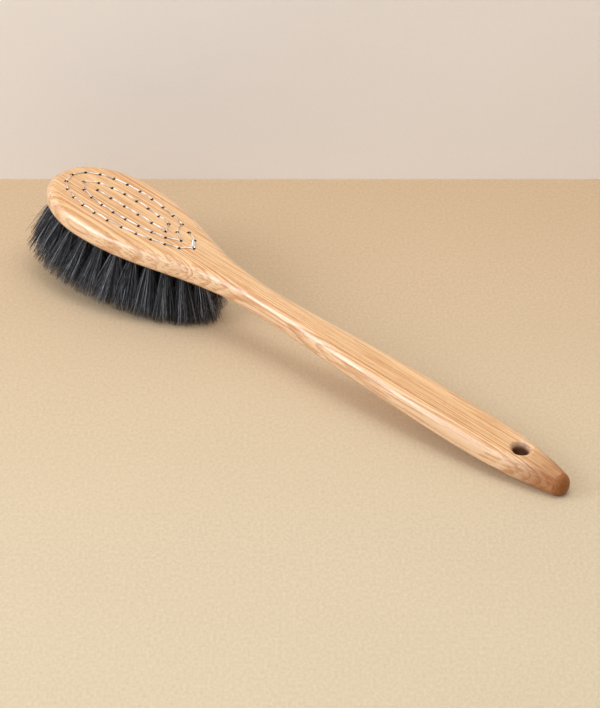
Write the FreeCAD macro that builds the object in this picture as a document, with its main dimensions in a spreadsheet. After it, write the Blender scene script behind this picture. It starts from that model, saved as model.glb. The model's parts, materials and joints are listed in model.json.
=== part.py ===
"""Body dry brush: a one-piece oak head and handle, hand-drawn with 48 black horsehair tufts.

The board is designed flat, with X from the head's front towards the handle's end, the flat top at Z = 0 and
the XZ plane as its plane of symmetry. Every piece then gets the resting placement: the brush stands on a
table at Z = 0, on its handle's end and on the tufts nearest the neck, with the middle of its footprint at
the origin.
"""
import FreeCAD, Part
import math
import os

import Sketcher

V = FreeCAD.Vector
UP = V(0, 0, 1)

SIZES = {
    # board outline, seen from above
    "overall_length": 420.2,
    "front_radius": 28.0,
    "head_width": 68.0,
    "head_widest_at": 50.2,
    "flank_radius": 170.0,
    "throat_radius": 190.0,
    "neck_width": 18.4,
    "neck_at": 184.2,
    "grip_hollow_radius": 700.0,
    "grip_width": 30.0,
    "grip_widest_at": 350.2,
    "end_radius": 7.4,
    # board section
    "board_thickness": 14.0,
    "top_round": 6.4,
    "under_round": 4.5,
    # the top face falls away towards the handle's end
    "end_fall_length": 47.0,
    "end_fall_radius": 450.0,
    # hanging hole
    "hanging_hole_diameter": 9.2,
    "hanging_hole_from_end": 35.0,
    "hanging_hole_round": 3.0,
    # drilled pattern, on the top face
    "outer_ring_start": 10.6,
    "outer_ring_length": 111.0,
    "outer_ring_width": 38.6,
    "outer_ring_egg": 0.264,
    "outer_ring_easing": 0.11,
    "middle_ring_start": 21.6,
    "middle_ring_length": 88.5,
    "middle_ring_width": 20.2,
    "middle_ring_egg": 0.185,
    "middle_ring_easing": 0.043,
    "centre_row_start": 34.6,
    "centre_row_pitch": 12.4,
    # direction of the drilling: the holes fan out from a line above the board
    "fan_centre": 64.2,
    "fan_height_along": 150.0,
    "fan_height_across": 62.0,
    # stepped holes
    "wire_hole_diameter": 2.5,
    "pocket_diameter": 5.2,
    "pocket_depth": 8.5,
    "drill_point": 0.9,
    "drill_overrun": 4.0,
    # tufts
    "tuft_root_diameter": 4.8,
    "tuft_root_length": 8.0,
    "tuft_free_length": 34.0,
    "tuft_end_diameter": 10.6,
    "tuft_end_crown": 1.2,
    # the fold of a tuft, which the wire passes round, and the room left for the wire
    "fold_width": 2.0,
    "fold_height": 3.0,
    "wire_room": 0.95,
    # wire: its strands in the hole stand a little apart, and its stitches lie on the top face
    "wire_diameter": 0.6,
    "wire_clearance": 0.08,
    "strand_spacing": 0.84,
    "wire_tail": 3.0,
    # how the brush stands on a table: where the top of the head's front is, seen from the middle
    # of the whole brush's footprint
    "rest_tilt": 6.575,
    "rest_height": 61.537,
    "rest_back": 200.62,
}

OUTER_COUNT = 24
MIDDLE_COUNT = 18
CENTRE_COUNT = 6

doc = FreeCAD.newDocument("BodyDryBrush")
sheet = doc.addObject("Spreadsheet::Sheet", "Sizes")
for row, (alias, number) in enumerate(SIZES.items(), start=1):
    sheet.set(f"A{row}", alias)
    sheet.set(f"B{row}", str(number))
    sheet.setAlias(f"B{row}", alias)
doc.recompute()


def size(alias):
    """The number that the sheet holds under an alias."""
    return float(getattr(sheet, alias))


def plane(body, role):
    """One of a body's own origin planes."""
    return next(item for item in body.Origin.OriginFeatures if item.Role == role)


def add_sketch(body, name, role):
    sketch = body.newObject("Sketcher::SketchObject", name)
    sketch.AttachmentSupport = [(plane(body, role), "")]
    sketch.MapMode = "FlatFace"
    return sketch


def constrain(sketch, kind, *parts, formula=None):
    """Add a constraint; a formula binds its value to the sheet."""
    index = sketch.addConstraint(Sketcher.Constraint(kind, *parts))
    if formula:
        sketch.setExpression(f"Constraints[{index}]", formula)


# Where the sketches' geometry has its points, in the Sketcher's numbering.
START, END, CENTRE = 1, 2, 3
ORIGIN = (-1, 1)
AXIS = -1


def arc_between(centre, first, last):
    """An arc that runs anticlockwise from one point to another."""
    radius = (first - centre).Length
    circle = Part.Circle(centre, UP, radius)
    start = math.atan2(first.y - centre.y, first.x - centre.x)
    stop = math.atan2(last.y - centre.y, last.x - centre.x)
    return Part.ArcOfCircle(circle, start, stop if stop > start else stop + 2 * math.pi)


# ------------------------------------------------------------------ oak board

def board_outline(body):
    """Half of the board's outline as a chain of tangent arcs, closed along the plane of symmetry."""
    length = size("overall_length")
    half_head, half_neck, half_grip = (size(k) / 2 for k in ("head_width", "neck_width", "grip_width"))
    front, end = size("front_radius"), size("end_radius")
    flank, throat, hollow = size("flank_radius"), size("throat_radius"), size("grip_hollow_radius")
    head_at, neck_at, grip_at = size("head_widest_at"), size("neck_at"), size("grip_widest_at")

    # shoulder: tangent to the front arc and level at the widest place of the head
    run, gap = head_at - front, half_head
    shoulder = (run**2 + gap**2 - front**2) / (2 * (gap - front))
    shoulder_centre = V(head_at, half_head - shoulder, 0)
    front_centre = V(front, 0, 0)
    front_end = front_centre + (front_centre - shoulder_centre).normalize() * front
    # throat: a straight line touches the flank arc and the throat arc
    flank_centre = V(head_at, half_head - flank, 0)
    throat_centre = V(neck_at, half_neck + throat, 0)
    apart = throat_centre - flank_centre
    slope = math.atan2(apart.y, apart.x) + math.acos((flank + throat) / apart.Length)
    touch = V(math.cos(slope), math.sin(slope), 0)
    flank_end = flank_centre + touch * flank
    throat_start = throat_centre - touch * throat
    # grip: the hollow and the swell meet on the line between their centres
    turn = 2 * math.atan((half_grip - half_neck) / (grip_at - neck_at))
    swell = (grip_at - neck_at) / math.sin(turn) - hollow
    hollow_centre = V(neck_at, half_neck + hollow, 0)
    swell_centre = V(grip_at, half_grip - swell, 0)
    hollow_end = hollow_centre + V(math.sin(turn), -math.cos(turn), 0) * hollow
    # end: tangent to the widest place of the grip and to the rounded end
    run = length - end - grip_at
    taper = (run**2 + half_grip**2 - end**2) / (2 * (half_grip - end))
    taper_centre = V(grip_at, half_grip - taper, 0)
    end_centre = V(length - end, 0, 0)
    taper_end = end_centre + (end_centre - taper_centre).normalize() * end

    head_top = V(head_at, half_head, 0)
    neck = V(neck_at, half_neck, 0)
    grip_top = V(grip_at, half_grip, 0)
    tip = V(length, 0, 0)

    sketch = add_sketch(body, "board_outline", "XY_Plane")
    # each entry: the curve, and which of its ends comes first on the way from the front to the end
    chain = [
        (arc_between(front_centre, front_end, V(0, 0, 0)), END, START),
        (arc_between(shoulder_centre, head_top, front_end), END, START),
        (arc_between(flank_centre, flank_end, head_top), END, START),
        (Part.LineSegment(flank_end, throat_start), START, END),
        (arc_between(throat_centre, throat_start, neck), START, END),
        (arc_between(hollow_centre, neck, hollow_end), START, END),
        (arc_between(swell_centre, grip_top, hollow_end), END, START),
        (arc_between(taper_centre, taper_end, grip_top), END, START),
        (arc_between(end_centre, tip, taper_end), END, START),
    ]
    curves = [sketch.addGeometry(curve, False) for curve, _, _ in chain]
    base_line = sketch.addGeometry(Part.LineSegment(tip, V(0, 0, 0)), False)
    for here, there in zip(range(len(chain) - 1), range(1, len(chain))):
        constrain(sketch, "Tangent", curves[here], chain[here][2], curves[there], chain[there][1])
    constrain(sketch, "Coincident", base_line, START, curves[-1], START)
    constrain(sketch, "Coincident", base_line, END, curves[0], END)
    constrain(sketch, "Coincident", base_line, END, *ORIGIN)
    constrain(sketch, "Horizontal", base_line)
    constrain(sketch, "PointOnObject", curves[0], CENTRE, AXIS)
    constrain(sketch, "PointOnObject", curves[-1], CENTRE, AXIS)
    constrain(sketch, "DistanceX", *ORIGIN, base_line, START, length, formula="Sizes.overall_length")
    stations = (
        (curves[1], START, head_top, "head_widest_at", "head_width"),
        (curves[4], END, neck, "neck_at", "neck_width"),
        (curves[6], START, grip_top, "grip_widest_at", "grip_width"),
    )
    for curve, point, place, at, width in stations:
        constrain(sketch, "DistanceX", *ORIGIN, curve, point, place.x, formula=f"Sizes.{at}")
        constrain(sketch, "DistanceY", *ORIGIN, curve, point, place.y, formula=f"Sizes.{width} / 2")
        constrain(sketch, "Vertical", curve, CENTRE, curve, point)
    radii = (
        (curves[0], front, "front_radius"),
        (curves[2], flank, "flank_radius"),
        (curves[4], throat, "throat_radius"),
        (curves[5], hollow, "grip_hollow_radius"),
        (curves[8], end, "end_radius"),
    )
    for curve, radius, alias in radii:
        constrain(sketch, "Radius", curve, radius, formula=f"Sizes.{alias}")
    return sketch


def rim_of(shape, heading):
    """Names of the edges round the faces that look up (heading 1) or down (heading -1)."""
    level_faces = [face for face in shape.Faces if face.normalAt(0, 0).z * heading > 0.5]
    sides = [edge for face in level_faces for edge in face.Edges]
    return [
        f"Edge{number}"
        for number, edge in enumerate(shape.Edges, start=1)
        if sum(edge.isSame(side) for side in sides) == 1
    ]


def edges_at(shape, level, reach=1e-4):
    """Names of the edges that lie wholly at one height."""
    return [
        f"Edge{number}"
        for number, edge in enumerate(shape.Edges, start=1)
        if abs(edge.BoundBox.ZMin - level) < reach and abs(edge.BoundBox.ZMax - level) < reach
    ]


def round_edges(body, name, base, names, formula):
    fillet = body.newObject("PartDesign::Fillet", name)
    fillet.Base = (base, names)
    fillet.setExpression("Radius", formula)
    doc.recompute()
    return fillet


def fall_away(body):
    """Cut the top face down along an arc that starts level, from above the hanging hole to the end."""
    sketch = add_sketch(body, "end_fall_profile", "XZ_Plane")
    radius, above = size("end_fall_radius"), 1.0
    start = V(size("overall_length") - size("end_fall_length"), 0, 0)
    centre = start - V(0, radius, 0)
    beyond = size("end_fall_length") + above
    finish = centre + V(beyond, math.sqrt(radius**2 - beyond**2), 0)
    corners = [finish, V(finish.x, above, 0), V(start.x, above, 0), start]
    arc = sketch.addGeometry(arc_between(centre, finish, start), False)
    sides = [
        sketch.addGeometry(Part.LineSegment(here, there), False)
        for here, there in zip(corners, corners[1:])
    ]
    constrain(sketch, "Coincident", arc, START, sides[0], START)
    constrain(sketch, "Coincident", sides[0], END, sides[1], START)
    constrain(sketch, "Coincident", sides[1], END, sides[2], START)
    constrain(sketch, "Coincident", sides[2], END, arc, END)
    constrain(sketch, "Vertical", sides[0])
    constrain(sketch, "Horizontal", sides[1])
    constrain(sketch, "Vertical", sides[2])
    constrain(sketch, "Vertical", arc, CENTRE, arc, END)
    constrain(sketch, "PointOnObject", arc, END, AXIS)
    constrain(sketch, "DistanceY", *ORIGIN, sides[1], START, above)
    constrain(sketch, "DistanceX", *ORIGIN, arc, END, start.x,
              formula="Sizes.overall_length - Sizes.end_fall_length")
    constrain(sketch, "DistanceX", *ORIGIN, sides[1], START, finish.x,
              formula="Sizes.overall_length + 1")
    constrain(sketch, "Radius", arc, radius, formula="Sizes.end_fall_radius")
    cut = body.newObject("PartDesign::Pocket", "end_fall")
    cut.Profile = sketch
    cut.Type = "ThroughAll"
    cut.Midplane = True
    doc.recompute()
    return cut


def build_blank():
    """The shaped board before the tuft holes are drilled."""
    body = doc.addObject("PartDesign::Body", "oak_blank")
    outline = board_outline(body)
    pad = body.newObject("PartDesign::Pad", "board")
    pad.Profile = outline
    pad.Reversed = True
    pad.setExpression("Length", "Sizes.board_thickness")
    doc.recompute()
    mirrored = body.newObject("PartDesign::Mirrored", "both_halves")
    mirrored.Originals = [pad]
    mirrored.MirrorPlane = (plane(body, "XZ_Plane"), "")
    mirrored.Refine = True
    body.Tip = mirrored
    doc.recompute()

    fall = fall_away(body)
    top = round_edges(body, "top_round", fall, rim_of(fall.Shape, 1), "Sizes.top_round")
    underside = -size("board_thickness")
    round_edges(body, "under_round", top, edges_at(top.Shape, underside), "Sizes.under_round")

    circle_sketch = add_sketch(body, "hanging_hole_circle", "XY_Plane")
    centre = V(size("overall_length") - size("hanging_hole_from_end"), 0, 0)
    radius = size("hanging_hole_diameter") / 2
    circle = circle_sketch.addGeometry(Part.Circle(centre, UP, radius), False)
    constrain(circle_sketch, "PointOnObject", circle, CENTRE, AXIS)
    constrain(circle_sketch, "DistanceX", *ORIGIN, circle, CENTRE, centre.x,
              formula="Sizes.overall_length - Sizes.hanging_hole_from_end")
    constrain(circle_sketch, "Diameter", circle, 2 * radius, formula="Sizes.hanging_hole_diameter")
    hole = body.newObject("PartDesign::Pocket", "hanging_hole")
    hole.Profile = circle_sketch
    hole.Type = "ThroughAll"
    hole.Midplane = True
    doc.recompute()
    wall = next(
        face for face in hole.Shape.Faces
        if isinstance(face.Surface, Part.Cylinder) and abs(face.Surface.Radius - radius) < 1e-6
    )
    rims = [
        f"Edge{number}"
        for number, edge in enumerate(hole.Shape.Edges, start=1)
        if edge.isClosed() and any(edge.isSame(side) for side in wall.Edges)
    ]
    round_edges(body, "hanging_hole_rims", hole, rims, "Sizes.hanging_hole_round")
    return body


# ------------------------------------------------------------------ drilled pattern

def egg_ring(count, name):
    """Holes along an egg-shaped ring, from the front hole round by +Y to the neck and back by -Y.

    They are spaced evenly along the ring, slightly closer together at its two ends.
    """
    start, length = size(f"{name}_start"), size(f"{name}_length")
    half_width, egg, easing = size(f"{name}_width") / 2, size(f"{name}_egg"), size(f"{name}_easing")
    steps = 720
    curve = []
    for step in range(steps + 1):
        angle = math.pi * step / steps
        across = half_width * math.sin(angle) * (1 + egg * math.cos(angle))
        curve.append(V(start + length / 2 * (1 - math.cos(angle)), across, 0))
    travelled = [0.0]
    for here, there in zip(curve, curve[1:]):
        travelled.append(travelled[-1] + (there - here).Length)
    half = []
    for number in range(count // 2 + 1):
        share = 2 * number / count
        wanted = (share - easing * math.sin(2 * math.pi * share) / (2 * math.pi)) * travelled[-1]
        nearest = min(range(steps + 1), key=lambda step: abs(travelled[step] - wanted))
        half.append(curve[nearest])
    other_half = [V(hole.x, -hole.y, 0) for hole in reversed(half[1:-1])]
    return half + other_half


def centre_row():
    start, pitch = size("centre_row_start"), size("centre_row_pitch")
    return [V(start + pitch * number, 0, 0) for number in range(CENTRE_COUNT)]


def drill_direction(hole):
    """Down and outwards, away from the line the holes fan out from."""
    along = (hole.x - size("fan_centre")) / size("fan_height_along")
    across = hole.y / size("fan_height_across")
    return V(along, across, -1).normalize()


class Hole:
    """One stepped hole: a fine wire hole from the top and a tuft pocket from the underside."""

    def __init__(self, name, mouth):
        self.name = name
        self.mouth = mouth
        self.down = drill_direction(mouth)
        self.length = size("board_thickness") / -self.down.z
        self.exit = mouth + self.down * self.length
        self.stitch = V(1, 0, 0)

    def aim_stitch(self, arriving, leaving):
        """The wire's two strands stand in the hole along the mean direction of its two stitches."""
        mean = arriving + leaving
        self.stitch = (mean - self.down * mean.dot(self.down)).normalize()

    def placement(self):
        """Z up the hole from its exit in the underside, X along the stitch."""
        up = self.down * -1
        side = up.cross(self.stitch)
        return FreeCAD.Placement(self.exit, FreeCAD.Rotation(self.stitch, side, up, "ZXY"))


def lay_out_holes():
    groups = (
        ("outer", egg_ring(OUTER_COUNT, "outer_ring")),
        ("middle", egg_ring(MIDDLE_COUNT, "middle_ring")),
        ("centre", centre_row()),
    )
    return {
        group: [Hole(f"tuft_{group}_{number:02d}", mouth) for number, mouth in enumerate(mouths, start=1)]
        for group, mouths in groups
    }


def stitching_order(holes):
    """The wire's way through the holes, spiralling inwards from the neck."""
    outer, middle, centre = holes["outer"], holes["middle"], holes["centre"]
    first_outer = OUTER_COUNT // 2 - 2
    first_middle = MIDDLE_COUNT // 2 - 1
    ring = [outer[(first_outer + step) % OUTER_COUNT] for step in range(OUTER_COUNT)]
    inner = [middle[(first_middle + step) % MIDDLE_COUNT] for step in range(MIDDLE_COUNT)]
    return ring + inner + centre[::-1]


def aim_all_stitches(order):
    for number, hole in enumerate(order):
        before = order[max(number - 1, 0)].mouth
        after = order[min(number + 1, len(order) - 1)].mouth
        arriving = (hole.mouth - before) if number else (after - hole.mouth)
        leaving = (after - hole.mouth) if number < len(order) - 1 else (hole.mouth - before)
        hole.aim_stitch(arriving.normalize(), leaving.normalize())


def drill(hole):
    """The drills' shapes for one stepped hole: pocket, drill point and wire hole."""
    frame = hole.placement()

    def placed(kind, name, bottom):
        tool = doc.addObject(kind, f"{hole.name}_{name}")
        tool.Placement = frame * FreeCAD.Placement(V(0, 0, bottom), FreeCAD.Rotation())
        return tool

    pocket = placed("Part::Cylinder", "pocket_drill", -size("drill_overrun"))
    pocket.setExpression("Radius", "Sizes.pocket_diameter / 2")
    pocket.setExpression("Height", "Sizes.pocket_depth + Sizes.drill_overrun")
    point = placed("Part::Cone", "drill_point", size("pocket_depth"))
    point.setExpression("Radius1", "Sizes.pocket_diameter / 2")
    point.setExpression("Radius2", "Sizes.wire_hole_diameter / 2")
    point.setExpression("Height", "Sizes.drill_point")
    wire_drill = placed("Part::Cylinder", "wire_drill", size("pocket_depth"))
    wire_drill.setExpression("Radius", "Sizes.wire_hole_diameter / 2")
    wire_drill.Height = hole.length - size("pocket_depth") + size("drill_overrun")
    return [pocket, point, wire_drill]


def build_oak_body(blank, order):
    drills = doc.addObject("Part::MultiFuse", "drills")
    drills.Shapes = [tool for hole in order for tool in drill(hole)]
    drilled = doc.addObject("Part::Cut", "oak_body")
    drilled.Base = blank
    drilled.Tool = drills
    return drilled


# ------------------------------------------------------------------ tufts

def build_tuft(hole):
    """A folded bundle of hair: a plug in its pocket that flares to a trimmed, slightly domed end."""
    body = doc.addObject("PartDesign::Body", hole.name)
    profile = add_sketch(body, f"{hole.name}_profile", "XZ_Plane")
    root, end = size("tuft_root_diameter") / 2, size("tuft_end_diameter") / 2
    top, bottom, crown = size("tuft_root_length"), -size("tuft_free_length"), size("tuft_end_crown")
    shoulder = root / 2
    corners = [V(0, top, 0), V(shoulder, top, 0), V(root, top - shoulder, 0), V(root, 0, 0),
               V(end, bottom + crown, 0), V(0, bottom, 0)]
    sides = [
        profile.addGeometry(Part.LineSegment(here, there), False)
        for here, there in zip(corners, corners[1:] + corners[:1])
    ]
    for here, there in zip(sides, sides[1:] + sides[:1]):
        constrain(profile, "Coincident", here, END, there, START)
    constrain(profile, "Horizontal", sides[0])
    constrain(profile, "Vertical", sides[2])
    constrain(profile, "PointOnObject", sides[0], START, -2)
    constrain(profile, "PointOnObject", sides[5], START, -2)
    dimensions = (
        ("DistanceY", sides[0], START, top, "Sizes.tuft_root_length"),
        ("DistanceX", sides[0], END, shoulder, "Sizes.tuft_root_diameter / 4"),
        ("DistanceX", sides[2], START, root, "Sizes.tuft_root_diameter / 2"),
        ("DistanceY", sides[2], START, top - shoulder,
         "Sizes.tuft_root_length - Sizes.tuft_root_diameter / 4"),
        ("DistanceX", sides[4], START, end, "Sizes.tuft_end_diameter / 2"),
        ("DistanceY", sides[4], START, bottom + crown, "Sizes.tuft_end_crown - Sizes.tuft_free_length"),
        ("DistanceY", sides[5], START, bottom, "-Sizes.tuft_free_length"),
    )
    for kind, side, point, value, formula in dimensions:
        constrain(profile, kind, *ORIGIN, side, point, value, formula=formula)
    constrain(profile, "PointOnObject", sides[2], END, AXIS)
    bundle = body.newObject("PartDesign::Revolution", f"{hole.name}_bundle")
    bundle.Profile = profile
    bundle.ReferenceAxis = (profile, ["V_Axis"])
    bundle.Angle = 360

    slot_sketch = add_sketch(body, f"{hole.name}_slot", "XZ_Plane")
    fold_half, fold_floor = size("fold_width") / 2, top - size("fold_height")
    slot_half, slot_floor, slot_roof = root + 1, fold_floor - size("wire_room"), top + 1
    slot = [V(-slot_half, slot_floor, 0), V(slot_half, slot_floor, 0), V(slot_half, slot_roof, 0),
            V(fold_half, slot_roof, 0), V(fold_half, fold_floor, 0), V(-fold_half, fold_floor, 0),
            V(-fold_half, slot_roof, 0), V(-slot_half, slot_roof, 0)]
    for here, there in zip(slot, slot[1:] + slot[:1]):
        slot_sketch.addGeometry(Part.LineSegment(here, there), False)
    wire_slot = body.newObject("PartDesign::Pocket", f"{hole.name}_wire_slot")
    wire_slot.Profile = slot_sketch
    wire_slot.Midplane = True
    wire_slot.setExpression("Length", "Sizes.wire_diameter + 0.3")
    return body


# ------------------------------------------------------------------ wire

def wire_corners(hole, radius):
    """Corners of the wire in one hole: over the rim, down, round the fold and back up."""
    lift = (radius + size("wire_clearance")) / -hole.down.z
    strand = size("strand_spacing") / 2
    fold_top = hole.length - size("tuft_root_length")
    loop_half = (size("fold_width") + size("wire_room")) / 2
    loop_floor = fold_top + size("fold_height") + size("wire_room") / 2
    # distance from the hole's axis and depth from its mouth, with the radius of the bend there
    way_down = ((strand, -lift, 0.5), (strand, fold_top - 1.3, 0.8), (loop_half, fold_top - 0.1, 0.8),
                (loop_half, loop_floor, 0.6))
    corners = []
    for direction, stations in ((-1, way_down), (1, way_down[::-1])):
        for across, depth, bend in stations:
            place = hole.mouth + hole.stitch * (direction * across) + hole.down * depth
            corners.append((place, bend))
    return corners


def bent_wire(corners, radius):
    """A round wire along straight lines with a rounded bend at each inner corner."""
    edges = []
    start = corners[0][0]
    for (before, _), (corner, bend), (after, _) in zip(corners, corners[1:], corners[2:]):
        arriving, leaving = (corner - before).normalize(), (after - corner).normalize()
        half_turn = arriving.getAngle(leaving) / 2
        reach = bend * math.tan(half_turn)
        inward = (leaving - arriving).normalize()
        middle = corner + inward * (bend / math.cos(half_turn) - bend)
        bend_start, bend_end = corner - arriving * reach, corner + leaving * reach
        edges.append(Part.makeLine(start, bend_start))
        edges.append(Part.Arc(bend_start, middle, bend_end).toShape())
        start = bend_end
    edges.append(Part.makeLine(start, corners[-1][0]))
    section = Part.Circle(corners[0][0], corners[1][0] - corners[0][0], radius).toShape()
    return Part.Wire(edges).makePipeShell([Part.Wire([section])], True, False)


def build_wire(order):
    """The continuous wire, made as one length per hole from half-way to half-way of its stitches."""
    radius, tail = size("wire_diameter") / 2, size("wire_tail")
    passes = [wire_corners(hole, radius) for hole in order]
    lengths = []
    for number, corners in enumerate(passes):
        first, last = corners[0][0], corners[-1][0]
        begin = V(first.x - tail, first.y, first.z)
        finish = V(last.x - tail, last.y, last.z)
        if number:
            begin = (passes[number - 1][-1][0] + first) / 2
        if number < len(passes) - 1:
            finish = (last + passes[number + 1][0][0]) / 2
        lengths.append(bent_wire([(begin, 0), *corners, (finish, 0)], radius))
    wire = doc.addObject("Part::Feature", "drawing_wire")
    wire.Shape = lengths[0].multiFuse(lengths[1:])
    return wire


def build_tie(order):
    """Two ends of wire twisted together, lying along the stitch next to the neck."""
    radius = size("wire_diameter") / 2
    here, there = order[1].mouth, order[2].mouth
    along = (there - here).normalize()
    twist_length, twist_radius, pitch = 6.4, radius + 0.01, 2.1
    aside = UP.cross(along) * -1.1
    strands = []
    for half_turn in (0, 180):
        helix = Part.makeHelix(pitch, twist_length, twist_radius)
        foot = V(twist_radius, 0, 0)
        heading = V(0, twist_radius * 2 * math.pi, pitch)
        section = Part.Wire([Part.Circle(foot, heading, radius).toShape()])
        strand = Part.Wire(helix.Edges).makePipeShell([section], True, True)
        strand.rotate(V(0, 0, 0), UP, half_turn)
        strands.append(strand)
    tie = doc.addObject("Part::Feature", "wire_tie")
    tie.Shape = Part.makeCompound(strands)
    foot = here + along * 1.2 + aside + UP * (2 * radius + 0.06)
    return tie, FreeCAD.Placement(foot, FreeCAD.Rotation(UP, along))


# ------------------------------------------------------------------ assembly

def rest_placement():
    """The handle's end and the tufts nearest the neck touch the table at Z = 0."""
    tilt = FreeCAD.Rotation(V(0, 1, 0), size("rest_tilt"))
    return FreeCAD.Placement(V(-size("rest_back"), 0, size("rest_height")), tilt)


holes = lay_out_holes()
order = stitching_order(holes)
aim_all_stitches(order)
blank = build_blank()
oak_body = build_oak_body(blank, order)
tufts = {hole.name: build_tuft(hole) for group in holes.values() for hole in group}
drawing_wire = build_wire(order)
wire_tie, tie_place = build_tie(order)
doc.recompute()

rest = rest_placement()
for hole in order:
    tufts[hole.name].Placement = rest * hole.placement()
oak_body.Placement = rest
drawing_wire.Placement = rest
wire_tie.Placement = rest * tie_place
doc.recompute()

pieces = [oak_body, *tufts.values(), drawing_wire, wire_tie]
for item in doc.Objects:
    if "Invalid" in item.State or "Error" in item.State:
        raise RuntimeError(f"{item.Label} failed: {item.State}")
for piece in pieces:
    if piece.Shape.isNull() or not piece.Shape.isValid():
        raise RuntimeError(f"{piece.Label} has no valid shape")

os.makedirs("parts", exist_ok=True)
for piece in pieces:
    piece.Shape.exportStep(f"parts/{piece.Label}.step")
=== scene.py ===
"""Looks for the body dry brush: oiled oak, bright drawing wire and black horsehair tufts."""
import json
import math

import bpy
import numpy as np
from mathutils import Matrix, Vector


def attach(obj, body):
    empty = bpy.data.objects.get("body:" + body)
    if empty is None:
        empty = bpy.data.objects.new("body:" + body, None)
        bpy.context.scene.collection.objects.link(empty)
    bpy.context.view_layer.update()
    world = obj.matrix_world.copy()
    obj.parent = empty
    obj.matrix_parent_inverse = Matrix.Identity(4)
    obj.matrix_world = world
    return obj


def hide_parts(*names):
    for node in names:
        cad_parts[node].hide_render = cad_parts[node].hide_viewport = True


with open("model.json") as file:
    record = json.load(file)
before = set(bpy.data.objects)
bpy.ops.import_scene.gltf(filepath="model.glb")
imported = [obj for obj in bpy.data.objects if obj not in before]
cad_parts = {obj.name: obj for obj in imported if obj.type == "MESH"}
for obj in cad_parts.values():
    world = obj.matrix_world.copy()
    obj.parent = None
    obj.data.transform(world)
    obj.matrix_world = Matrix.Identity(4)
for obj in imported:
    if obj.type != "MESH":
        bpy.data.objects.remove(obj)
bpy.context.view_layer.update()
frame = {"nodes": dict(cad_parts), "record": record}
nodes = frame["nodes"]
TUFTS = sorted(name for name in nodes if name.startswith("tuft_"))
OUTER, MIDDLE, CENTRE = (
    [name for name in TUFTS if name.startswith(f"tuft_{ring}_")]
    for ring in ("outer", "middle", "centre")
)
HANGING_HOLE = next(m for m in frame["record"]["mounts"] if m["name"] == "hanging_hole")
BOARD_UP = Vector(HANGING_HOLE["axis"]).normalized()
BOARD_TILT = math.atan2(BOARD_UP.x, BOARD_UP.z)
MM = 0.001


# ---------------------------------------------------------------- layout, read from the CAD nodes

def node_points(name):
    return np.array([vertex.co for vertex in nodes[name].data.vertices])


def unit(vector):
    return vector / np.linalg.norm(vector)


def long_axis(points):
    """The middle of a slender piece, its long direction and how far each point lies along it."""
    middle = points.mean(axis=0)
    axis = np.linalg.svd(points - middle, full_matrices=False)[2][0]
    return middle, axis, (points - middle) @ axis


UP = np.array(BOARD_UP)
BOARD_TOP = (node_points("oak_body") @ UP).max()
ROOT_LENGTH = 8.0 * MM        # how deep a tuft sits in its pocket


class TuftShape:
    """Where a tuft leaves the board, where its hole opens on top, its direction, length and radii."""

    def __init__(self, name):
        points = node_points(name)
        middle, axis, along = long_axis(points)
        if axis @ UP > 0:
            axis, along = -axis, -along
        away = np.linalg.norm(points - middle - np.outer(along, axis), axis=1)
        self.axis = axis
        self.exit = middle + axis * (along.min() + ROOT_LENGTH)
        self.mouth = self.exit + axis * (BOARD_TOP - self.exit @ UP) / (axis @ UP)
        self.depth = (self.exit - self.mouth) @ axis
        self.length = along.max() - along.min() - ROOT_LENGTH
        self.root_radius = away[along < along.min() + ROOT_LENGTH / 2].max()
        self.end_radius = away.max()
        self.side = unit(np.cross(axis, (0, 1, 0)))
        self.other_side = np.cross(axis, self.side)


SHAPES = {name: TuftShape(name) for name in TUFTS}


def to_board(point):
    """Millimetres along, across and up the flat board, from the middle of its hanging hole."""
    x, y, z = (np.asarray(point) - np.array(HANGING_HOLE["pos_m"])) / MM
    cosine, sine = math.cos(BOARD_TILT), math.sin(BOARD_TILT)
    return np.array([cosine * x - sine * z, y, sine * x + cosine * z])


MOUTHS = np.array([to_board(shape.mouth) for shape in SHAPES.values()])


def stitching_order():
    """The wire's way through the holes: round the outer ring, round the middle ring, then the row."""
    first_outer, first_middle = len(OUTER) // 2 - 2, len(MIDDLE) // 2 - 1
    ring = OUTER[first_outer:] + OUTER[:first_outer]
    inner = MIDDLE[first_middle:] + MIDDLE[:first_middle]
    return [SHAPES[name] for name in ring + inner + CENTRE[::-1]]


# ---------------------------------------------------------------- material nodes

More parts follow.
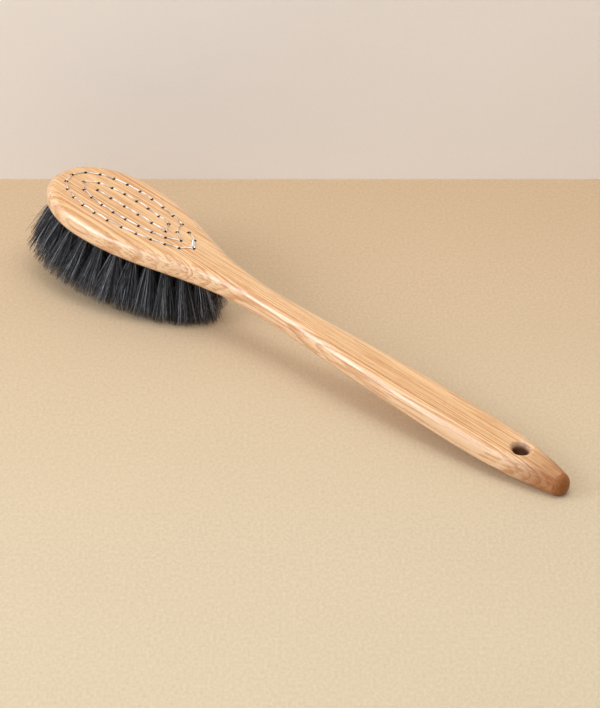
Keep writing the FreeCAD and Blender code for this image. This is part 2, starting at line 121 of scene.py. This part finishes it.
class Tree:
    """A material's node tree, with short calls for the nodes that the finishes need."""

    def __init__(self, name):
        self.material = bpy.data.materials.new(name)
        self.material.use_nodes = True
        self.nodes = self.material.node_tree.nodes
        self.links = self.material.node_tree.links
        self.shader = self.nodes["Principled BSDF"]

    def put(self, socket, value):
        if isinstance(value, bpy.types.NodeSocket):
            self.links.new(value, socket)
        elif hasattr(value, "__len__") and len(value) == 3 and len(socket.default_value) == 4:
            socket.default_value = (*value, 1.0)
        else:
            socket.default_value = value

    def add(self, kind, inputs, output=0, **settings):
        node = self.nodes.new("ShaderNode" + kind)
        for key, value in settings.items():
            setattr(node, key, value)
        for key, value in inputs.items():
            self.put(node.inputs[key], value)
        return node.outputs[output]

    def math(self, operation, first, second=0.0):
        return self.add("Math", {0: first, 1: second}, operation=operation)

    def plus(self, first, second):
        return self.math("ADD", first, second)

    def minus(self, first, second):
        return self.math("SUBTRACT", first, second)

    def times(self, first, second):
        return self.math("MULTIPLY", first, second)

    def scaled(self, vector, factors):
        """A place or a colour times three factors, or times one for all three."""
        return self.add("VectorMath", {0: vector, 1: factors}, operation="MULTIPLY")

    def split(self, vector):
        node = self.nodes.new("ShaderNodeSeparateXYZ")
        self.put(node.inputs[0], vector)
        return node.outputs

    def normal(self):
        return self.split(self.add("NewGeometry", {}, "Normal"))

    def noise(self, place, stretch, detail=2.0, roughness=0.5):
        """Cloudy noise, with as many clouds to a unit of length as stretch says for each direction."""
        vector = self.scaled(place, stretch)
        inputs = {"Vector": vector, "Scale": 1.0, "Detail": detail, "Roughness": roughness}
        return self.add("TexNoise", inputs)

    def ramp(self, value, low, high):
        """0 below low and 1 above high, with a smooth step between; low above high runs backwards."""
        inputs = {"Value": value, "From Min": low, "From Max": high}
        return self.add("MapRange", inputs, interpolation_type="SMOOTHSTEP")

    def mix(self, share, first, second):
        node = self.nodes.new("ShaderNodeMix")
        node.data_type = "RGBA"
        self.put(node.inputs["Factor"], share)
        self.put(node.inputs[6], first)
        self.put(node.inputs[7], second)
        return node.outputs[2]

    def stain(self, colour, where, stain):
        """Lay a stain, which is a tint and its strength, over a colour where another value is 1."""
        tint, strength = stain
        return self.mix(self.times(where, strength), colour, tint)

    def bump(self, height, strength, distance):
        return self.add("Bump", {"Height": height, "Strength": strength, "Distance": distance})

    def finish(self, **inputs):
        for key, value in inputs.items():
            self.put(self.shader.inputs[key.replace("_", " ")], value)
        return self.material


def board_coordinates(tree):
    """The same coordinates as to_board gives, in a shader."""
    place = tree.add("TexCoord", {}, "Object")
    mapping = {
        "Vector": place,
        "Location": tuple(to_board((0, 0, 0))),
        "Rotation": (0, -BOARD_TILT, 0),
        "Scale": (1 / MM, 1 / MM, 1 / MM),
    }
    return tree.add("Mapping", mapping)


# ---------------------------------------------------------------- oak

# lengths are in mm; the tree's heart is beside the board's middle line and below its hanging hole
HEART_ACROSS, HEART_BELOW = 121.4, 30.0
YEAR = 1.9
WIDE_YEARS_FROM, WIDE_YEARS_LOSS = 148.0, 0.55     # past this radius, that share of it adds no years
PACE, PACE_SWING = 0.21, 3.2                       # good and bad spells of growth, and their years
EARLY_PEAK, EARLY_END = 0.08, 0.6                  # shares of a year
FAINTEST_YEAR = 0.3
FLANK_FADE = 0.42
PORE_THRESHOLD, MORE_IN_EARLY_WOOD, PORE_EDGE = 0.66, 0.17, 0.08

# how fine each noise is along, across and up the board, in clouds to the mm
SLOW_WAVER, QUICK_WAVER = (0.009, 0.02, 0.02), (0.03, 0.11, 0.11)
SLOW_SWING, QUICK_SWING = 6.0, 1.2
PORES, FIBRES, STREAKS = (0.13, 2.6, 2.6), (0.25, 7.0, 7.0), (0.016, 0.85, 0.85)
TONES, RAYS = (0.014, 0.08, 0.08), (0.9, 0.3, 1.6)

OAK_DARKER, OAK_LIGHTER = (0.87, 0.535, 0.25), (0.90, 0.59, 0.31)
EARLY_WOOD = (0.54, 0.205, 0.055)

# stains: a tint and its strength; some of them are painted light and shade
# painted sheen: surfaces facing sideways are paler and pinker, standing for the soft gloss the lamps lay on
# the rounded sides
PAINTED_FLANK_SHEEN = (0.93, 0.70, 0.51), 0.6
STREAK = (0.60, 0.24, 0.065), 0.64
PORE = (0.38, 0.15, 0.045), 0.45
RAY = (0.95, 0.74, 0.52), 0.2
# end grain that drank more oil, partly painted shade where the handle's end and its sides turn away from
# the lamps
OILED_END_AND_SHADE = (0.30, 0.085, 0.012), 0.85
DARKEST_END_AND_SHADE = (0.15, 0.045, 0.010), 0.4
# the hanging hole: end grain on its rim with a painted grey reflection, and on its wall with painted shade
# deeper down
HOLE_RIM_AND_REFLECTION = (0.37, 0.22, 0.15), 0.65
HOLE_WALL_AND_SHADE = (0.16, 0.055, 0.02), 0.92
# painted shade: nearly black on the walls of the wire holes and tuft pockets
DRILLED_WALL_SHADE = (0.02, 0.011, 0.006), 0.95

HANGING_RADIUS = HANGING_HOLE["dims"]["r_mm"]
MOUTH_MARGIN = 2.5     # from the middle of the outermost wire holes to beyond their edges


def upright(tree):
    """How far the surface faces along the board's own up or down direction, 0 to 1."""
    normal = tree.add("NewGeometry", {}, "True Normal")
    turned = tree.add("VectorMath", {0: normal, 1: BOARD_UP}, "Value", operation="DOT_PRODUCT")
    return tree.math("ABSOLUTE", turned)


def early_wood(tree, place, flank):
    """1 in the coarse dark part of each year's growth, 0 in its dense part; fainter on the flanks."""
    _, across, height = tree.split(place)
    slow = tree.times(tree.noise(place, SLOW_WAVER, 1.0), SLOW_SWING)
    quick = tree.times(tree.noise(place, QUICK_WAVER), QUICK_SWING)
    out = tree.minus(tree.plus(tree.plus(slow, quick), HEART_ACROSS), across)
    rise = tree.plus(height, HEART_BELOW)
    radius = tree.math("SQRT", tree.plus(tree.times(out, out), tree.times(rise, rise)))
    in_wide_years = tree.math("MAXIMUM", tree.minus(radius, WIDE_YEARS_FROM), 0.0)
    evened = tree.minus(radius, tree.times(in_wide_years, WIDE_YEARS_LOSS))
    pace = tree.add("TexNoise", {"W": radius, "Scale": PACE, "Detail": 1.0}, noise_dimensions="1D")
    ring = tree.plus(tree.math("DIVIDE", evened, YEAR), tree.times(pace, PACE_SWING))
    phase = tree.math("FRACT", ring)
    early = tree.times(tree.ramp(phase, 0.0, EARLY_PEAK), tree.ramp(phase, EARLY_END, EARLY_PEAK))
    chance = tree.add("TexWhiteNoise", {"W": tree.math("FLOOR", ring)}, noise_dimensions="1D")
    strength = tree.plus(tree.times(chance, 1 - FAINTEST_YEAR), FAINTEST_YEAR)
    fade = tree.minus(1.0, tree.times(flank, FLANK_FADE))
    return tree.times(tree.times(early, strength), fade)


def shaded_hole_walls(tree, place):
    """1 on the walls of the wire holes and tuft pockets, where painted shade goes, 0 elsewhere."""
    lowest, highest = MOUTHS.min(axis=0), MOUTHS.max(axis=0)
    middle = (highest + lowest) / 2
    half = (highest - lowest) / 2 + MOUTH_MARGIN
    along, across, _ = tree.split(place)
    along = tree.math("DIVIDE", tree.minus(along, middle[0]), half[0])
    across = tree.math("DIVIDE", across, half[1])
    reach = tree.plus(tree.times(along, along), tree.times(across, across))
    return tree.times(tree.ramp(upright(tree), 0.75, 0.6), tree.ramp(reach, 1.15, 1.05))


def hanging_hole_grain_and_painted_light(tree, place, colour):
    """Darken the rounded rim of the hanging hole as end grain with a painted grey reflection, and its wall
    more, as end grain with painted shade that deepens down the hole.
    """
    flat = tree.scaled(place, (1.0, 1.0, 0.0))
    from_hole = tree.add("VectorMath", {0: flat}, "Value", operation="LENGTH")
    near_rim = tree.ramp(from_hole, HANGING_RADIUS + 4.0, HANGING_RADIUS + 3.2)
    near_wall = tree.ramp(from_hole, HANGING_RADIUS + 1.8, HANGING_RADIUS + 0.2)
    rim = tree.times(near_rim, tree.ramp(upright(tree), 0.99, 0.7))
    wall = tree.times(near_wall, tree.ramp(tree.split(place)[2], 5.4, 2.0))
    return tree.stain(tree.stain(colour, rim, HOLE_RIM_AND_REFLECTION), wall, HOLE_WALL_AND_SHADE)


def oak():
    """Oiled oak sawn with its growth rings on edge: lines along the top, ovals on the rounded sides."""
    tree = Tree("oiled_oak")
    place = board_coordinates(tree)
    flank = tree.ramp(tree.math("ABSOLUTE", tree.normal()[1]), 0.25, 0.85)
    early = early_wood(tree, place, flank)

    # open pores: fine dark dashes, most of them in the early wood
    threshold = tree.minus(PORE_THRESHOLD, tree.times(early, MORE_IN_EARLY_WOOD))
    pores = tree.ramp(tree.minus(tree.noise(place, PORES, 1.0), threshold), 0.0, PORE_EDGE)
    fibre = tree.noise(place, FIBRES)
    streaks = tree.ramp(tree.noise(place, STREAKS, 2.0, 0.6), 0.5, 0.6)
    tone = tree.noise(place, TONES, 3.0)
    rays = tree.ramp(tree.noise(place, RAYS, 1.0), 0.64, 0.8)

    colour = tree.mix(tree.ramp(tone, 0.3, 0.7), OAK_DARKER, OAK_LIGHTER)
    # painted sheen: paler, pinker sides
    colour = tree.stain(colour, flank, PAINTED_FLANK_SHEEN)
    colour = tree.mix(early, colour, EARLY_WOOD)
    colour = tree.stain(colour, streaks, STREAK)
    colour = tree.stain(colour, pores, PORE)
    colour = tree.stain(colour, rays, RAY)
    colour = tree.mix(0.5, colour, tree.scaled(colour, tree.plus(tree.times(fibre, 0.5), 0.75)))

    # darker where end grain drinks more oil, with painted shade added: the handle's end, partly painted
    # shade where it turns away from the lamps; the hanging hole, with painted shade deep inside and a
    # painted reflection on its rim; the wire holes and tuft pockets, painted shade only
    along = tree.split(place)[0]
    ahead = tree.normal()[0]
    towards_end = tree.math("MAXIMUM", tree.ramp(ahead, 0.0, 0.35), tree.times(flank, 0.85))
    handle_end = tree.times(tree.ramp(along, -8.0, 24.0), towards_end)
    very_end = tree.times(tree.ramp(along, 20.0, 34.0), tree.ramp(ahead, 0.35, 0.9))
    # partly real end grain, partly painted shade on the handle's end
    colour = tree.stain(colour, handle_end, OILED_END_AND_SHADE)
    colour = tree.stain(colour, very_end, DARKEST_END_AND_SHADE)
    # end grain, painted shade and a painted reflection in the hanging hole
    colour = hanging_hole_grain_and_painted_light(tree, place, colour)
    # painted shade inside the wire holes and tuft pockets
    colour = tree.stain(colour, shaded_hole_walls(tree, place), DRILLED_WALL_SHADE)

    gloss = tree.minus(1.0, tree.times(handle_end, 0.8))
    relief = tree.minus(tree.times(fibre, 0.35), pores)
    dullness = tree.plus(tree.times(pores, 0.2), tree.times(tone, 0.12))
    return tree.finish(
        Base_Color=colour,
        Roughness=tree.plus(dullness, 0.34),
        Specular_IOR_Level=tree.times(gloss, 0.5),
        Coat_Weight=gloss,
        Coat_Roughness=0.16,
        Normal=tree.bump(relief, 0.3, 0.12 * MM),
    )


# ---------------------------------------------------------------- wire, hair and paper

# the steel's own colour, and the painted shade on the wire inside the holes
BRIGHT_STEEL, WIRE_SHADE_IN_HOLE = (1.0, 0.99, 0.98), (0.02, 0.015, 0.01)
GREY_BROWN_PATCH = (0.48, 0.41, 0.35), 0.7
BLACK_HAIR_AND_HIGHLIGHT = (0.008, 0.009, 0.012), (0.64, 0.67, 0.76)     # the darkest hair, and the lightest, whose pale blue-grey is partly a painted highlight
BROWN_HAIR = (0.05, 0.032, 0.02), (0.30, 0.20, 0.12)
HAIR_SHADE = "shade"


def steel_wire():
    """Bright drawn steel with fine scratches, darker grey-brown patches, and painted shade on the wire
    inside the holes.
    """
    tree = Tree("bright_wire")
    place = board_coordinates(tree)
    scratches = tree.noise(place, (6.0, 6.0, 6.0), 3.0)
    # darker grey-brown patches, some as long as a stitch, so that some stitches look fainter than others
    grey_brown_patches = tree.ramp(tree.noise(place, (0.13, 0.13, 0.13)), 0.44, 0.58)
    colour = tree.stain(BRIGHT_STEEL, grey_brown_patches, GREY_BROWN_PATCH)
    depth = tree.minus(MOUTHS[:, 2].mean(), tree.split(place)[2])
    # painted shade: the wire goes dark below the board's top, inside the holes
    colour = tree.mix(tree.ramp(depth, -0.25, 0.15), colour, WIRE_SHADE_IN_HOLE)
    return tree.finish(
        Base_Color=colour,
        Metallic=1.0,
        Roughness=tree.plus(tree.times(scratches, 0.2), 0.22),
        Normal=tree.bump(scratches, 0.15, 0.05 * MM),
    )


def hair(name, dark, light):
    """Horsehair: each hair has its own shade between dark and light, the lightest partly a painted
    highlight, and a cool sheen.
    """
    tree = Tree(name)
    place = tree.scaled(tree.add("TexCoord", {}, "Object"), (1 / MM, 1 / MM, 1 / MM))
    shade = tree.add("Attribute", {}, "Fac", attribute_name=HAIR_SHADE)
    mottle = tree.noise(place, (0.9, 0.9, 0.12))
    return tree.finish(
        Base_Color=tree.mix(tree.times(shade, tree.plus(mottle, 0.5)), dark, light),
        Roughness=tree.plus(tree.times(mottle, 0.2), 0.26),
        Specular_IOR_Level=0.45,
        Specular_Tint=(0.80, 0.88, 1.0),
    )


def paper(name, near, far, grain):
    """A matt surface, clear from behind, with a faint paper grain; its colour drifts from near to far,
    which on the floor is painted light, dimmer towards the back.
    """
    tree = Tree(name)
    place = tree.add("TexCoord", {}, "Object")
    mottle = tree.noise(place, (560.0, 360.0, 360.0), 3.0, 0.7)
    cloud = tree.noise(place, (6.0, 9.0, 9.0))
    shade = tree.plus(tree.times(mottle, grain), tree.times(cloud, 0.05))
    # on the floor this drift is painted light and shade, darker towards the back
    colour = tree.mix(tree.ramp(tree.split(place)[1], -0.35, 0.25), near, far)
    from_behind = tree.add("NewGeometry", {}, "Backfacing")
    return tree.finish(
        Base_Color=tree.scaled(colour, tree.plus(shade, 0.965 - grain / 2)),
        Roughness=0.8,
        Specular_IOR_Level=0.2,
        Alpha=tree.minus(1.0, from_behind),
    )


# ---------------------------------------------------------------- hair tufts

HAIRS_PER_TUFT = 380
HAIR_POINTS = 8
HAIR_RADIUS = 0.105 * MM
HAIR_START = -5.0 * MM        # inside the pocket, where the hair is folded round the wire
FLOOR_GAP = 0.12 * MM
SPLAY = np.array([-6.0, 7.5, 0]) * MM     # tips drawn in at the head's two ends, out at its sides
TIP_SPREAD, TIP_SPREAD_VARIES = 1.68, 0.25     # against the end of the CAD tuft
TIP_SCATTER = 1.0 * MM
CLUMPS, CLUMP_REACH, CLUMP_PULL = 16, 1.75, 0.36
WILD_SHARE, WILD_SCATTER = 0.2, 3.4 * MM
LENGTH_SHARE, LENGTH_VARIES = 1.02, 0.016
TRIM_DOME = 0.5 * MM
SHORT_SHARE = 0.04
BOW = 1.4 * MM
STRAYS_PER_TUFT = 7
STRAY_RADIUS = 0.7 * HAIR_RADIUS


def disc(random, count):
    """Points spread evenly over a unit disc."""
    angle = random.uniform(0, 2 * np.pi, count)
    reach = np.sqrt(random.uniform(0, 1, count))
    return np.stack([reach * np.cos(angle), reach * np.sin(angle)], axis=1)


def tip_places(shape, random, root):
    """Where the hairs of a tuft end, across its axis: spread, gathered into clumps, a few astray."""
    count = len(root)
    spread = TIP_SPREAD + random.normal(0, TIP_SPREAD_VARIES, count)
    tip = root * (shape.end_radius * spread)[:, None] + random.normal(0, TIP_SCATTER, (count, 2))
    clumps = disc(random, CLUMPS) * shape.end_radius * CLUMP_REACH
    nearest = np.argmin(np.linalg.norm(tip[:, None] - clumps[None], axis=2), axis=1)
    tip += (clumps[nearest] - tip) * random.uniform(0.0, CLUMP_PULL, count)[:, None]
    wild = random.uniform(0, 1, count) < WILD_SHARE
    tip[wild] += random.normal(0, WILD_SCATTER, (wild.sum(), 2))
    return tip


def tuft_hairs(shape, random, count):
    """Centre lines of a tuft's hairs: gathered in the pocket, flaring, bowed and clumped at the tips."""
    root = disc(random, count)
    tip = tip_places(shape, random, root)
    length = shape.length * (LENGTH_SHARE + random.normal(0, LENGTH_VARIES, count))
    length -= TRIM_DOME * (np.linalg.norm(tip, axis=1) / shape.end_radius) ** 2
    short = random.uniform(0, 1, count) < SHORT_SHARE
    length[short] *= random.uniform(0.72, 0.95, short.sum())
    bow = random.normal(0, BOW, (count, 2))
    wave_phase = random.uniform(0, 2 * np.pi, (count, 2))
    wave_size = random.uniform(0.02, 0.2, (count, 2)) * MM

    share = np.linspace(0, 1, HAIR_POINTS)[None, :, None]
    depth = HAIR_START + (length[:, None, None] - HAIR_START) * share
    free = np.clip(depth / shape.length, 0, None)
    root_offset = root[:, None, :] * shape.root_radius * 0.93
    flat = root_offset + (tip[:, None, :] - root_offset) * free ** 1.1
    flat = flat + bow[:, None, :] * free * (1 - free) * 2.2
    flat = flat + wave_size[:, None, :] * np.sin(free * 9 + wave_phase[:, None, :]) * free
    lines = shape.exit + depth * shape.axis + shape.axis * SPLAY * free ** 1.5
    return lines + flat[..., :1] * shape.side + flat[..., 1:] * shape.other_side


def stray_hairs(shape, random, count):
    """A few long fine hairs that stand out from a tuft and curl away from it."""
    outward = unit(np.array([shape.axis[0], shape.axis[1], 0.0]))
    sideways = np.cross(outward, (0, 0, 1))
    share = np.linspace(0, 1, HAIR_POINTS)[None, :, None]
    length = shape.length * random.uniform(0.55, 1.02, count)[:, None, None]
    lift = random.uniform(0.05, 0.5, count)[:, None, None] * length
    swing = random.normal(0, 0.16, count)[:, None, None] * length
    start = random.uniform(-1, 1, (count, 1, 1)) * shape.root_radius * 0.7 * sideways
    lines = shape.exit + start + length * share * shape.axis
    lines = lines + outward * lift * share ** 1.7 + sideways * swing * share ** 2
    return lines + np.array([0, 0, 0.35]) * lift * share ** 3


def add_piece(name, data):
    piece = bpy.data.objects.new(name, data)
    bpy.context.scene.collection.objects.link(piece)
    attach(piece, "root")
    return piece


def hair_piece(name, lines, random, radius, material):
    """Thin three-sided closed hairs with finer tips, all in one mesh."""
    low = lines[..., 2] < FLOOR_GAP
    lines[..., 2][low] = FLOOR_GAP + random.uniform(0, 0.5 * MM, low.sum())
    count, points = lines.shape[:2]
    heading = lines[:, -1] - lines[:, 0]
    heading /= np.linalg.norm(heading, axis=1)[:, None]
    side = np.cross(heading, random.normal(0, 1, (count, 3)))
    side /= np.linalg.norm(side, axis=1)[:, None]
    other = np.cross(heading, side)
    taper = np.interp(np.linspace(0, 1, points), (0, 0.75, 1), (1, 0.9, 0.45))
    # a few hairs are much lighter and wider, partly painted highlights along the black hair
    shade = random.uniform(0, 1, count) ** 6
    width = radius * (random.uniform(0.75, 1.15, count) + 0.35 * shade)[:, None] * taper[None]
    corners = [
        lines + width[..., None] * (math.cos(turn) * side + math.sin(turn) * other)[:, None]
        for turn in (0, 2 * math.pi / 3, 4 * math.pi / 3)
    ]
    vertices = np.stack(corners, axis=2).reshape(-1, 3)

    ring = np.arange(count * points * 3).reshape(count, points, 3)
    here, there = ring[:, :-1], ring[:, 1:]
    nearby, onward = np.roll(here, -1, axis=2), np.roll(there, -1, axis=2)
    walls = np.stack([here, nearby, onward, there], axis=-1).reshape(-1, 4)
    caps = np.concatenate([ring[:, 0, ::-1], ring[:, -1]])
    mesh = bpy.data.meshes.new(name)
    mesh.from_pydata(vertices.tolist(), [], walls.tolist() + caps.tolist())
    mesh.polygons.foreach_set("use_smooth", np.ones(len(mesh.polygons), bool))
    attribute = mesh.attributes.new(HAIR_SHADE, "FLOAT", "POINT")
    attribute.data.foreach_set("value", np.repeat(shade, points * 3).astype(np.float32))
    mesh.materials.append(material)
    return add_piece(name, mesh)


def make_tufts():
    black = hair("black_horsehair", *BLACK_HAIR_AND_HIGHLIGHT)
    brown = hair("brown_horsehair", *BROWN_HAIR)
    for seed, name in enumerate(TUFTS, start=1000):
        random = np.random.default_rng(seed)
        lines = tuft_hairs(SHAPES[name], random, HAIRS_PER_TUFT)
        piece = hair_piece(f"{name}_hair", lines, random, HAIR_RADIUS, black)
        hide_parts(name)
    # loose lighter hairs at the head's front and next to the neck
    places = {
        "front_stray_hairs": (OUTER[0], OUTER[-1], OUTER[-2], OUTER[-3]),
        "neck_stray_hairs": (OUTER[11], OUTER[12], OUTER[13], OUTER[14]),
    }
    for seed, (name, roots) in enumerate(places.items(), start=500):
        random = np.random.default_rng(seed)
        lines = np.concatenate([stray_hairs(SHAPES[root], random, STRAYS_PER_TUFT) for root in roots])
        hair_piece(name, lines, random, STRAY_RADIUS, brown)


# ---------------------------------------------------------------- wire

WIRE_RADIUS = 0.34 * MM
WIRE_REST = WIRE_RADIUS + 0.06 * MM     # how high the middle of a stitch lies above the board
STRAND_GAP = 0.9 * MM        # from a hole's axis to the middle of either strand
FOLD_ROOM = 5.0 * MM         # from the lower face up to the bend of the wire
STRAND_DEPTHS = -WIRE_REST, 0.5 * MM, 3.0 * MM     # of the strand's bends, from the top face
STITCH_BOW, STITCH_BOW_MOST = 0.28, 0.55           # mm, usual and greatest
STITCH_LIFT = 0.05 * MM, 0.4 * MM                  # least and greatest
STITCH_POINTS = 0.2, 0.5, 0.8
TIE_TURNS = 3.1
TIE_SAMPLES = 34
TIE_CROWN = 0.5 * MM
WIRE_SEED = 7


def round_wire(name, paths, radius, material):
    """A round wire with closed ends along smooth paths."""
    curve = bpy.data.curves.new(name, "CURVE")
    curve.dimensions = "3D"
    curve.bevel_depth = radius
    curve.bevel_resolution = 3
    curve.resolution_u = 5
    curve.use_fill_caps = True
    for path in paths:
        spline = curve.splines.new("NURBS")
        spline.points.add(len(path) - 1)
        spline.points.foreach_set("co", np.column_stack([path, np.ones(len(path))]).ravel())
        spline.order_u = 3
        spline.use_endpoint_u = True
    curve.materials.append(material)
    return add_piece(name, curve)


def wire_path(order, random):
    """Stitches bowed a little by hand; in each hole a strand down, the bend under the fold, a strand up."""
    path = []
    for number, shape in enumerate(order):
        before = order[max(number - 1, 0)].mouth
        after = order[min(number + 1, len(order) - 1)].mouth
        stitch = unit(after - before)
        down = (*STRAND_DEPTHS, shape.depth - FOLD_ROOM)
        for side, depths in ((-1, down), (1, down[::-1])):
            for depth in depths:
                path.append(shape.mouth + stitch * side * STRAND_GAP + shape.axis * depth)
        if number == len(order) - 1:
            break
        way = after - shape.mouth
        aside = np.cross(UP, unit(way))
        bow = np.clip(random.normal(0, STITCH_BOW), -STITCH_BOW_MOST, STITCH_BOW_MOST) * MM
        lift = random.uniform(*STITCH_LIFT)
        for share in STITCH_POINTS:
            swell = math.sin(math.pi * share)
            lean = aside * bow * swell
            path.append(shape.mouth + way * share + lean + UP * (WIRE_REST + lift * swell))
    return np.array(path)


def tie_paths():
    """Two ends of the wire twisted together, loosening into two cut ends."""
    middle, axis, along = long_axis(node_points("wire_tie"))
    length = along.max() - along.min()
    aside = unit(np.cross(axis, UP))
    share = np.linspace(0, 1, TIE_SAMPLES)[:, None]
    looser_at_end = 1.6 * np.clip(share - 0.82, 0, None) / 0.18
    looser_at_start = 0.9 * np.clip(0.12 - share, 0, None) / 0.12
    radius = WIRE_RADIUS * 1.05 * (1 + looser_at_end + looser_at_start)
    spine = middle + axis * (share - 0.5) * length + UP * TIE_CROWN * np.sin(math.pi * share)
    turns = [math.pi * strand + share * 2 * math.pi * TIE_TURNS for strand in (0, 1)]
    return [spine + radius * (np.cos(turn) * aside + np.sin(turn) * UP) for turn in turns]


def make_wire():
    steel = steel_wire()
    path = wire_path(stitching_order(), np.random.default_rng(WIRE_SEED))
    stitches = round_wire("stitched_wire", [path], WIRE_RADIUS, steel)
    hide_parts("drawing_wire")
    twist = round_wire("wire_twist", tie_paths(), WIRE_RADIUS, steel)
    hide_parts("wire_tie")


# ---------------------------------------------------------------- stage, light and camera

VIEW_AZIMUTH = math.radians(-46.75)
VIEW_ELEVATION = math.radians(31.0)
VIEW_DISTANCE = 1.581
VIEW_TARGET = Vector((0.0006, 0.0105, 0.0))
LENS = 131.2
WALL_DISTANCE = 0.242
STAGE_WIDTH, WALL_HEIGHT = 6.0, 3.0
# painted light on the floor: lighter near the camera, darker and warmer towards the back
FLOOR_NEAR_LIT, FLOOR_FAR_SHADED = (0.685, 0.58, 0.415), (0.65, 0.48, 0.31)
WALL_COLOUR = (0.92, 0.87, 0.83)
WHITE, COOL, SKY = (1.0, 0.99, 0.97), (0.92, 0.955, 1.0), (1.0, 0.99, 0.98, 1.0)
SKY_STRENGTH = 0.46


def direction(azimuth, elevation):
    flat = math.cos(elevation)
    return Vector((flat * math.cos(azimuth), flat * math.sin(azimuth), math.sin(elevation)))


def look(obj, target):
    obj.rotation_euler = (target - obj.location).to_track_quat("-Z", "Y").to_euler()


def add_camera():
    camera = bpy.data.objects.new("camera", bpy.data.cameras.new("camera"))
    camera.data.lens = LENS
    camera.location = VIEW_TARGET + direction(VIEW_AZIMUTH, VIEW_ELEVATION) * VIEW_DISTANCE
    look(camera, VIEW_TARGET)
    bpy.context.scene.collection.objects.link(camera)
    bpy.context.scene.camera = camera


def add_area_light(name, place, target, size, watts, colour):
    light = bpy.data.objects.new(name, bpy.data.lights.new(name, "AREA"))
    light.data.shape = "RECTANGLE"
    light.data.size, light.data.size_y = size
    light.data.energy = watts
    light.data.color = colour
    light.location = place
    look(light, Vector(target))
    bpy.context.scene.collection.objects.link(light)


def add_lights():
    add_area_light("overhead_softbox", (0.22, 0.08, 1.4), (0, 0, 0), (0.9, 0.9), 7.3, WHITE)
    add_area_light("front_softbox", (0.6, -1.5, 1.2), (0, 0, 0.1), (1.8, 1.2), 5.6, WHITE)
    add_area_light("left_window", (-0.83, -1.22, 0.83), (0, 0, 0), (1.0, 0.7), 11.4, COOL)
    world = bpy.data.worlds.new("studio")
    world.use_nodes = True
    background = world.node_tree.nodes["Background"]
    background.inputs["Color"].default_value = SKY
    background.inputs["Strength"].default_value = SKY_STRENGTH
    bpy.context.scene.world = world


def add_plane(name, middle, turn, width, height, material):
    """A rectangle that lies down or stands up, turned so that its width runs across the view."""
    x, y = width / 2, height / 2
    mesh = bpy.data.meshes.new(name)
    mesh.from_pydata([(-x, -y, 0), (x, -y, 0), (x, y, 0), (-x, y, 0)], [], [(0, 1, 2, 3)])
    mesh.materials.append(material)
    obj = bpy.data.objects.new(name, mesh)
    obj.location = middle
    obj.rotation_euler = turn
    bpy.context.scene.collection.objects.link(obj)


def add_stage():
    floor = paper("pale_paper_floor", FLOOR_NEAR_LIT, FLOOR_FAR_SHADED, 0.42)
    wall = paper("pale_wall", WALL_COLOUR, WALL_COLOUR, 0.06)
    turn = VIEW_AZIMUTH + math.pi / 2
    behind = -direction(VIEW_AZIMUTH, 0) * WALL_DISTANCE
    wall_middle = behind + Vector((0, 0, WALL_HEIGHT / 2))
    add_plane("floor", (0, 0, 0), (0, 0, turn), STAGE_WIDTH, STAGE_WIDTH, floor)
    add_plane("backdrop", wall_middle, (math.pi / 2, 0, turn), STAGE_WIDTH, WALL_HEIGHT, wall)


# ---------------------------------------------------------------- assembly

oak_mesh = nodes["oak_body"].data
oak_mesh.materials.clear()
oak_mesh.materials.append(oak())
make_wire()
make_tufts()
add_stage()
add_lights()
add_camera()
bpy.context.scene.view_settings.view_transform = "Standard"
